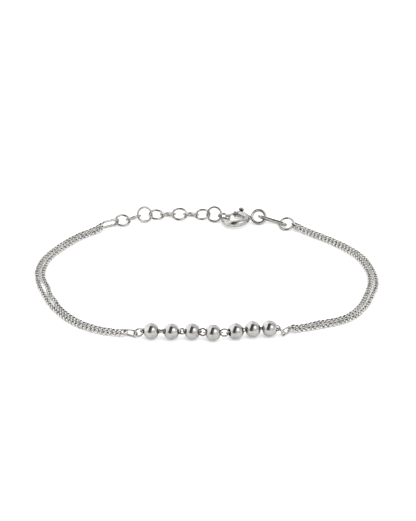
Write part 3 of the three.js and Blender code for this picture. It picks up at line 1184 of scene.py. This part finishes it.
@dataclass(frozen=True)
class Clasp:
    """The spring ring: a hollow tube ring with a mouth, an eye, and a sprung latch wire.

    Its own frame has the ring in the XY plane and the eye on +X. Angles run round the ring.

    Attributes:
        lie: Heading, rise and roll of the clasp's frame.
        radius, tube: Radius of the ring's centreline, and of the tube outside.
        bore, bore_start: Radius of the latch's bore, and angle of its closed end.
        mouth: Angles at which the mouth opens and ends.
        socket, socket_end: Radius of the socket for the latch's tip, and angle of its closed end.
        ring_steps, ring_sides: Steps round the tube ring, and corners of its section.
        collar: Angle, half width and depth, as a share of the tube, of each crimped groove.
        mouth_round: Depth, as a share of the tube, and length of the rounding at the mouth.
        slot, slot_width: Angles at which the knob's slot opens and ends, and its width.
        eye_distance, eye_radius: From the ring's centre to the eye's, and its centreline's radius.
        eye_wire, eye_roll: Diameter of the eye's wire, and its roll out of the ring's plane.
        neck_mm, neck_curve: Radius of the solder neck's waist, its flare, and the flare's power.
        neck_roots: Depth of its ends, as shares of the tube's radius and of the eye's wire.
        latch, latch_radius: Angles of the latch's hidden end and tip, and its wire's radius.
        tip: Length of its rounded tip, as an angle, and share of the thickness left at its end.
        knob_angle, knob_lift: Where the knob stands, and its lean out of the ring's plane.
        knob_reach: From the tube's centreline to the knob's middle.
        knob_radius, knob_height, knob_cover: Its size, and share of a half turn of its curve.
        stem_radius, stem_top: Radius of the stem, and its top in half heights below the middle.
        neck_rows, latch_steps, knob_rows: Steps along the neck, the latch and the knob's curve.
        turns, sides: Steps round the neck and knob, and corners of the wires' sections.
    """

    lie: Triple = (5.0, 3.0, -4.0)
    radius: float = 2.36 * MM
    tube: float = 0.72 * MM
    bore: float = 0.44 * MM
    bore_start: float = -4.0
    mouth: Span = (94.0, 176.0)
    socket: float = 0.38 * MM
    socket_end: float = 186.0
    ring_steps: int = 108
    ring_sides: int = 32
    collar: tuple[Triple, ...] = ((80.0, 3.6, 0.2), (89.3, 1.5, 0.16))
    mouth_round: Span = (0.1, 2.5)
    slot: Span = (18.0, 68.0)
    slot_width: float = 0.52 * MM
    eye_distance: float = 5.0 * MM
    eye_radius: float = 1.45 * MM
    eye_wire: float = 0.66 * MM
    eye_roll: float = 51.0
    neck_mm: Span = (0.54, 0.16)
    neck_roots: Span = (0.55, 0.1)
    neck_rows: int = 12
    neck_curve: float = 2.5
    latch_radius: float = 0.26 * MM
    latch: Span = (44.0, 181.0)
    latch_steps: int = 60
    tip: Span = (3.0, 0.75)
    knob_angle: float = 61.0
    knob_lift: float = 38.0
    knob_reach: float = 1.17 * MM
    knob_radius: float = 0.66 * MM
    knob_height: float = 0.8 * MM
    knob_cover: float = 0.88
    knob_rows: int = 15
    stem_radius: float = 0.14 * MM
    stem_top: float = 1.05
    turns: int = 28
    sides: int = 20

    def centre(self) -> Vector:
        """The ring's centre, on the latch's hinge."""
        return Vector(frame["joints"][0]["pos_m"])

    def place(self) -> Matrix:
        """The clasp's frame in the bracelet's."""
        return Place(self.centre(), *self.lie).matrix()

    def build(self) -> None:
        """Builds and dresses the body and the latch."""
        body = Draft()
        self._ring(body)
        self._eye(body)
        show("clasp_ring", body.mesh("clasp_ring", 38.0), Finish.CLASP, ["clasp_body"])
        latch = Draft()
        self._latch(latch)
        mesh = latch.mesh("latch_wire", 60.0)
        show("latch_wire", mesh, Finish.CLASP, ["clasp_latch"], "latch")

    def _arc(self, angle: float) -> Vector:
        """A point of the ring's centreline."""
        return direction(angle) * self.radius

    def _ring(self, draft: Draft) -> None:
        """The tube ring with its open bore, its slot and its socket.

        Args:
            draft: The body's draft.
        """
        steps, sides = self.ring_steps, self.ring_sides
        start, end = self.mouth[1] - 360, self.mouth[0]
        angles = [start + (end - start) * k / steps for k in range(steps + 1)]
        points: list[Vector] = []
        faces: list[tuple[int, ...]] = []

        def rim(angle: float, radius: float) -> list[int]:
            """Adds one circle of points round the tube's centreline.

            Args:
                angle: Where round the ring the circle stands.
                radius: Its radius.

            Returns:
                The points' numbers.
            """
            centre = self._arc(angle)
            out = centre.normalized()
            first = len(points)
            for j in range(sides):
                about = math.radians(self.knob_lift - 180) + math.tau * j / sides
                spoke = out * math.cos(about) + Vector((0, 0, math.sin(about)))
                points.append(centre + spoke * radius)
            return list(range(first, first + sides))

        outer = {k: rim(angle, self.tube * self._collar(angle)) for k, angle in enumerate(angles)}
        bored = [k for k, angle in enumerate(angles) if angle >= self.bore_start]
        inner = {k: rim(angles[k], self.bore) for k in bored}
        plug = [k for k, angle in enumerate(angles) if angle <= self.socket_end - 360]
        pocket = {k: rim(angles[k], self.socket) for k in plug}
        half_slot = math.degrees(self.slot_width / 2 / self.tube)
        cut = {
            (k, j)
            for k in range(steps)
            for j in range(sides)
            if self.slot[0] <= (angles[k] + angles[k + 1]) / 2 <= self.slot[1]
            and abs((j + 0.5) * 360 / sides - 180) <= half_slot
        }

        def skin(rows: dict[int, list[int]], keys: Sequence[int], inward: bool) -> None:
            """Adds the faces between circles, apart from those in the slot.

            Args:
                rows: Circles of points by step.
                keys: The steps to cover.
                inward: Whether the faces look towards the centreline.
            """
            for k in keys:
                here, ahead = rows[k], rows[k + 1]
                for j in range(sides):
                    if (k, j) in cut:
                        continue
                    side = (j + 1) % sides
                    quad = (here[j], here[side], ahead[side], ahead[j])
                    faces.append(quad if inward else tuple(reversed(quad)))

        skin(outer, range(steps), False)
        skin(inner, bored[:-1], True)
        skin(pocket, plug[:-1], True)
        for k, j in cut:
            side = (j + 1) % sides
            a, b = (outer[k], inner[k]), (outer[k + 1], inner[k + 1])
            walls = {
                (k - 1, j): (a[0][side], a[0][j], a[1][j], a[1][side]),
                (k + 1, j): (b[0][j], b[0][side], b[1][side], b[1][j]),
                (k, j - 1): (a[0][j], b[0][j], b[1][j], a[1][j]),
                (k, j + 1): (b[0][side], a[0][side], a[1][side], b[1][side]),
            }
            faces.extend(wall for beyond, wall in walls.items() if beyond not in cut)
        for j in range(sides):
            side = (j + 1) % sides
            faces.append((outer[steps][side], outer[steps][j], inner[steps][j], inner[steps][side]))
            faces.append((outer[0][j], outer[0][side], pocket[0][side], pocket[0][j]))
        faces.append(tuple(reversed(inner[bored[0]])))
        faces.append(tuple(pocket[plug[-1]]))
        draft.add(points, faces, self.place())

    def _collar(self, angle: float) -> float:
        """The tube's thickness at an angle, as a share: it is crimped in rings at the mouth.

        Args:
            angle: The angle.

        Returns:
            The share.
        """
        share = 1.0
        for groove, half_width, depth in self.collar:
            share -= depth * math.exp(-(((angle - groove) / half_width) ** 4))
        edge = min(abs(angle - self.mouth[0]), abs(angle - self.mouth[1] + 360))
        depth, length = self.mouth_round
        return share - depth * max(0.0, 1 - edge / length) ** 2

    def _eye(self, draft: Draft) -> None:
        """The eye and the waisted solder neck between it and the ring.

        Args:
            draft: The body's draft.
        """
        outer = 2 * self.eye_radius + self.eye_wire
        turn = Matrix.Rotation(math.radians(self.eye_roll), 4, "X")
        seat = Matrix.Translation(Vector((self.eye_distance, 0, 0)))
        loop = Loop(outer, outer, self.eye_wire, joint=None, turns=96, sides=self.sides)
        loop.draw(draft, self.place() @ seat @ turn)
        near = self.radius + self.tube * self.neck_roots[0]
        far = self.eye_distance - self.eye_radius - self.eye_wire * self.neck_roots[1]
        waist, flare = self.neck_mm
        profile = [(far, 0.0)]
        for k in range(self.neck_rows + 1):
            share = k / self.neck_rows
            radius = waist + flare * abs(2 * share - 1) ** self.neck_curve
            profile.append((far + (near - far) * share, radius * MM))
        profile.append((near, 0.0))
        draft.turned(profile, self.turns, False, self.place())

    def _latch(self, draft: Draft) -> None:
        """The latch wire, its stem through the slot, and the thumb knob.

        Args:
            draft: The latch's draft.
        """
        start, end = self.latch
        steps = self.latch_steps
        angles = [start + (end - start) * k / steps for k in range(steps + 1)]
        radii = [self.latch_radius * self._tip(angle) for angle in angles]
        path = [self._arc(angle) for angle in angles]
        draft.wire(path, radii, self.sides, False, self.place())
        lift = (
            Matrix.Rotation(math.radians(self.knob_angle), 4, "Z")
            @ Matrix.Translation(Vector((self.radius, 0, 0)))
            @ Matrix.Rotation(-math.radians(self.knob_lift), 4, "Y")
        )
        half = self.knob_height / 2
        foot = self.latch_radius * 0.5
        profile = [(self.knob_reach + half, 0.0)]
        for k in range(1, self.knob_rows + 1):
            angle = math.pi * self.knob_cover * k / self.knob_rows
            along = self.knob_reach + half * math.cos(angle)
            profile.append((along, self.knob_radius * math.sin(angle)))
        profile.append((self.knob_reach - half * self.stem_top, self.stem_radius))
        profile.extend([(foot, self.stem_radius), (foot, 0.0)])
        draft.turned(profile, self.turns, False, self.place() @ lift)

    def _tip(self, angle: float) -> float:
        """The latch wire's thickness at an angle, as a share: its tip is rounded.

        Args:
            angle: The angle.

        Returns:
            The share.
        """
        length, blunt = self.tip
        left = min(1.0, (self.latch[1] - angle) / length)
        return blunt + (1 - blunt) * math.sqrt(max(0.0, 1 - (1 - left) ** 2))


# ---- the studio


@dataclass(frozen=True)
class Panel:
    """A soft-edged window of directions in the studio's walls, seen from the table.

    Attributes:
        level: Its brightness.
        x, y, z: Lowest and highest share of each axis in a direction that meets it. The viewer
            stands on the side of -Y.
        soft, turn: Width of its soft edge, and turn about Z.
    """

    level: float
    x: Span = (-2.0, 2.0)
    y: Span = (-2.0, 2.0)
    z: Span = (-2.0, 2.0)
    soft: float = 0.12
    turn: float = 0.0

    def mask(self, tree: Tree, place: Socket) -> object:
        """How far a direction lies in the window, as a socket.

        Args:
            tree: The world's node tree.
            place: The socket that holds the direction.

        Returns:
            The socket, or 1 for a window without edges.
        """
        inputs = {"Vector": place, "Angle": math.radians(self.turn)}
        turned = add_node(tree, "ShaderNodeVectorRotate", inputs, rotation_type="Z_AXIS")
        split = add_node(tree, "ShaderNodeSeparateXYZ", {"Vector": turned.outputs["Vector"]})
        mask: object = 1.0
        half = self.soft / 2
        for share, (low, high) in zip(split.outputs, (self.x, self.y, self.z)):
            edges = []
            if low > -1.0:
                edges.append((low - half, low + half))
            if high < 1.0:
                edges.append((high + half, high - half))
            for edge in edges:
                mask = calculate(tree, "MULTIPLY", mask, mapped(tree, share, edge, kind=SMOOTH))
        return mask


@dataclass(frozen=True)
class Lamp:
    """A round soft light in the studio's walls.

    Attributes:
        level: Its brightness.
        towards: Direction of its middle.
        inner, outer: Angles from the middle within which it is full and beyond which it is gone.
    """

    level: float
    towards: Triple
    inner: float
    outer: float

    def mask(self, tree: Tree, place: Socket) -> Socket:
        """How far a direction lies in the light, as a socket.

        Args:
            tree: The world's node tree.
            place: The socket that holds the direction.

        Returns:
            The socket.
        """
        inputs = {0: place, 1: Vector(self.towards).normalized()}
        facing = add_node(tree, "ShaderNodeVectorMath", inputs, operation="DOT_PRODUCT")
        edge = (math.cos(math.radians(self.outer)), math.cos(math.radians(self.inner)))
        return mapped(tree, facing.outputs["Value"], edge, kind=SMOOTH)


@dataclass(frozen=True)
class Studio:
    """A pale table, soft light from all round, and the camera.

    Attributes:
        elevation: Height of the camera above the table, as an angle.
        distance, aim: The camera's distance from the bracelet's middle, and its aim from there.
        lens, sensor: Focal length, and the sensor's longer side, in millimetres.
        table_size: Length of the table's side.
        table_paint: What the table's shader gets. A little glow of its own fades the shadows.
        overhead_size, overhead_power, overhead_spot: Side, watts and place of the overhead light.
        walls: Brightness of the room where nothing else is.
        panels, lamp: White boards and dark openings, each over those before it, and the soft light.
        contrast: The print's gamma: below 1 it deepens the middle tones.
    """

    elevation: float = 32.0
    distance: float = 385.0 * MM
    aim: Triple = (0.16 * MM, 1.58 * MM, 2.53 * MM)
    lens: float = 129.6
    sensor: float = 36.0
    table_size: float = 2.0
    table_paint: tuple[tuple[str, object], ...] = (
        ("Base Color", (0.64, 0.64, 0.64, 1.0)),
        ("Emission Color", (1.0, 1.0, 1.0, 1.0)),
        ("Emission Strength", 0.42),
        ("Roughness", 0.9),
        ("Specular IOR Level", 0.1),
    )
    overhead_size: float = 0.9
    overhead_power: float = 4.8
    overhead_spot: Triple = (0.1, -0.15, 0.9)
    walls: float = 1.17
    contrast: float = 0.7
    panels: tuple[Panel, ...] = (
        Panel(1.12, y=(0.5, 2.0), z=(-1.0, 0.72)),
        Panel(1.4, x=(0.3, 2.0), y=(0.45, 2.0), z=(0.3, 0.75)),
        Panel(0.8, x=(0.35, 2.0), y=(0.12, 0.42), z=(0.3, 0.92)),
        Panel(1.28, x=(0.35, 2.0), y=(-2.0, -0.12), z=(-1.0, 0.5)),
        Panel(1.12, y=(-2.0, -0.3), z=(-1.0, 0.12)),
        Panel(1.68, x=(-2.0, -0.33), y=(-0.75, 0.75), z=(0.0, 0.9), turn=24.0),
        Panel(0.46, x=(0.0, 0.34), y=(-2.0, 0.24), z=(0.1, 2.0), turn=19.0),
        Panel(0.25, x=(-0.31, 0.19), y=(-2.0, 0.24), z=(0.08, 2.0), turn=24.0),
    )
    lamp: Lamp = Lamp(2.35, (0.508, -0.441, 0.741), 9.0, 25.0)

    def build(self, origin: Vector) -> None:
        """Sets the table, the light and the camera.

        Args:
            origin: The middle of the bracelet, on the table.
        """
        self._table()
        self._sky()
        self._overhead()
        self._camera(origin)
        bpy.context.scene.view_settings.view_transform = "Standard"
        bpy.context.scene.view_settings.gamma = self.contrast
        LOG.info("studio: table, sky, light and camera")

    def _table(self) -> None:
        """A plain pale table top."""
        half = self.table_size / 2
        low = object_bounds()[0][2]
        corners = [(-half, -half, low), (half, -half, low), (half, half, low), (-half, half, low)]
        mesh = bpy.data.meshes.new("table")
        mesh.from_pydata(corners, [], [(0, 1, 2, 3)])
        paint = bpy.data.materials.new("table_white")
        paint.use_nodes = True
        shader = paint.node_tree.nodes["Principled BSDF"]
        feed(paint.node_tree, shader, dict(self.table_paint))
        mesh.materials.append(paint)
        table = put("table", mesh)
        table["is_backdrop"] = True

    def _sky(self) -> None:
        """The studio's walls, as the light that comes from each direction."""
        world = bpy.data.worlds.new("studio")
        world.use_nodes = True
        bpy.context.scene.world = world
        tree = world.node_tree
        place = add_node(tree, "ShaderNodeTexCoord").outputs["Generated"]
        tone: object = self.walls
        for light in (*self.panels, self.lamp):
            inputs = {0: light.mask(tree, place), 2: tone, 3: light.level}
            tone = add_node(tree, "ShaderNodeMix", inputs, data_type="FLOAT").outputs[0]
        feed(tree, tree.nodes["Background"], {"Color": tone})

    def _overhead(self) -> None:
        """A broad soft light above the table, too matt to show in the polished metal."""
        lamp = bpy.data.lights.new("overhead", "AREA")
        lamp.size = self.overhead_size
        lamp.energy = self.overhead_power
        holder = put("overhead", lamp)
        holder.location = self.overhead_spot
        holder.rotation_euler = holder.location.to_track_quat("Z", "Y").to_euler()
        holder.visible_glossy = False

    def _camera(self, origin: Vector) -> None:
        """Sets the camera.

        Args:
            origin: The middle of the bracelet, on the table.
        """
        lens = bpy.data.cameras.new("camera")
        lens.lens = self.lens
        lens.sensor_width = self.sensor
        lens.clip_start = 10 * MM
        rise = math.radians(self.elevation)
        away = Vector((0, -math.cos(rise), math.sin(rise))) * self.distance
        camera = put("camera", lens)
        camera.location = origin + away
        look = origin + Vector(self.aim) - camera.location
        camera.rotation_euler = look.to_track_quat("-Z", "Y").to_euler()
        bpy.context.scene.camera = camera


# ---- the whole bracelet


def main() -> None:
    """Builds the bracelet piece by piece, then the studio."""
    logging.basicConfig(level=logging.INFO, format="%(name)s: %(message)s")
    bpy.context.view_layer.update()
    layout = middle("ball_bead_4") - Vector(MIDDLE_BEAD_MM) * MM
    copies = copies_tree()
    BeadRow().build(copies)
    JoiningLinks().build()
    Extender().build(copies)
    Strands().build(layout)
    Clasp().build()
    Studio().build(layout)


if __name__ == "__main__":
    main()
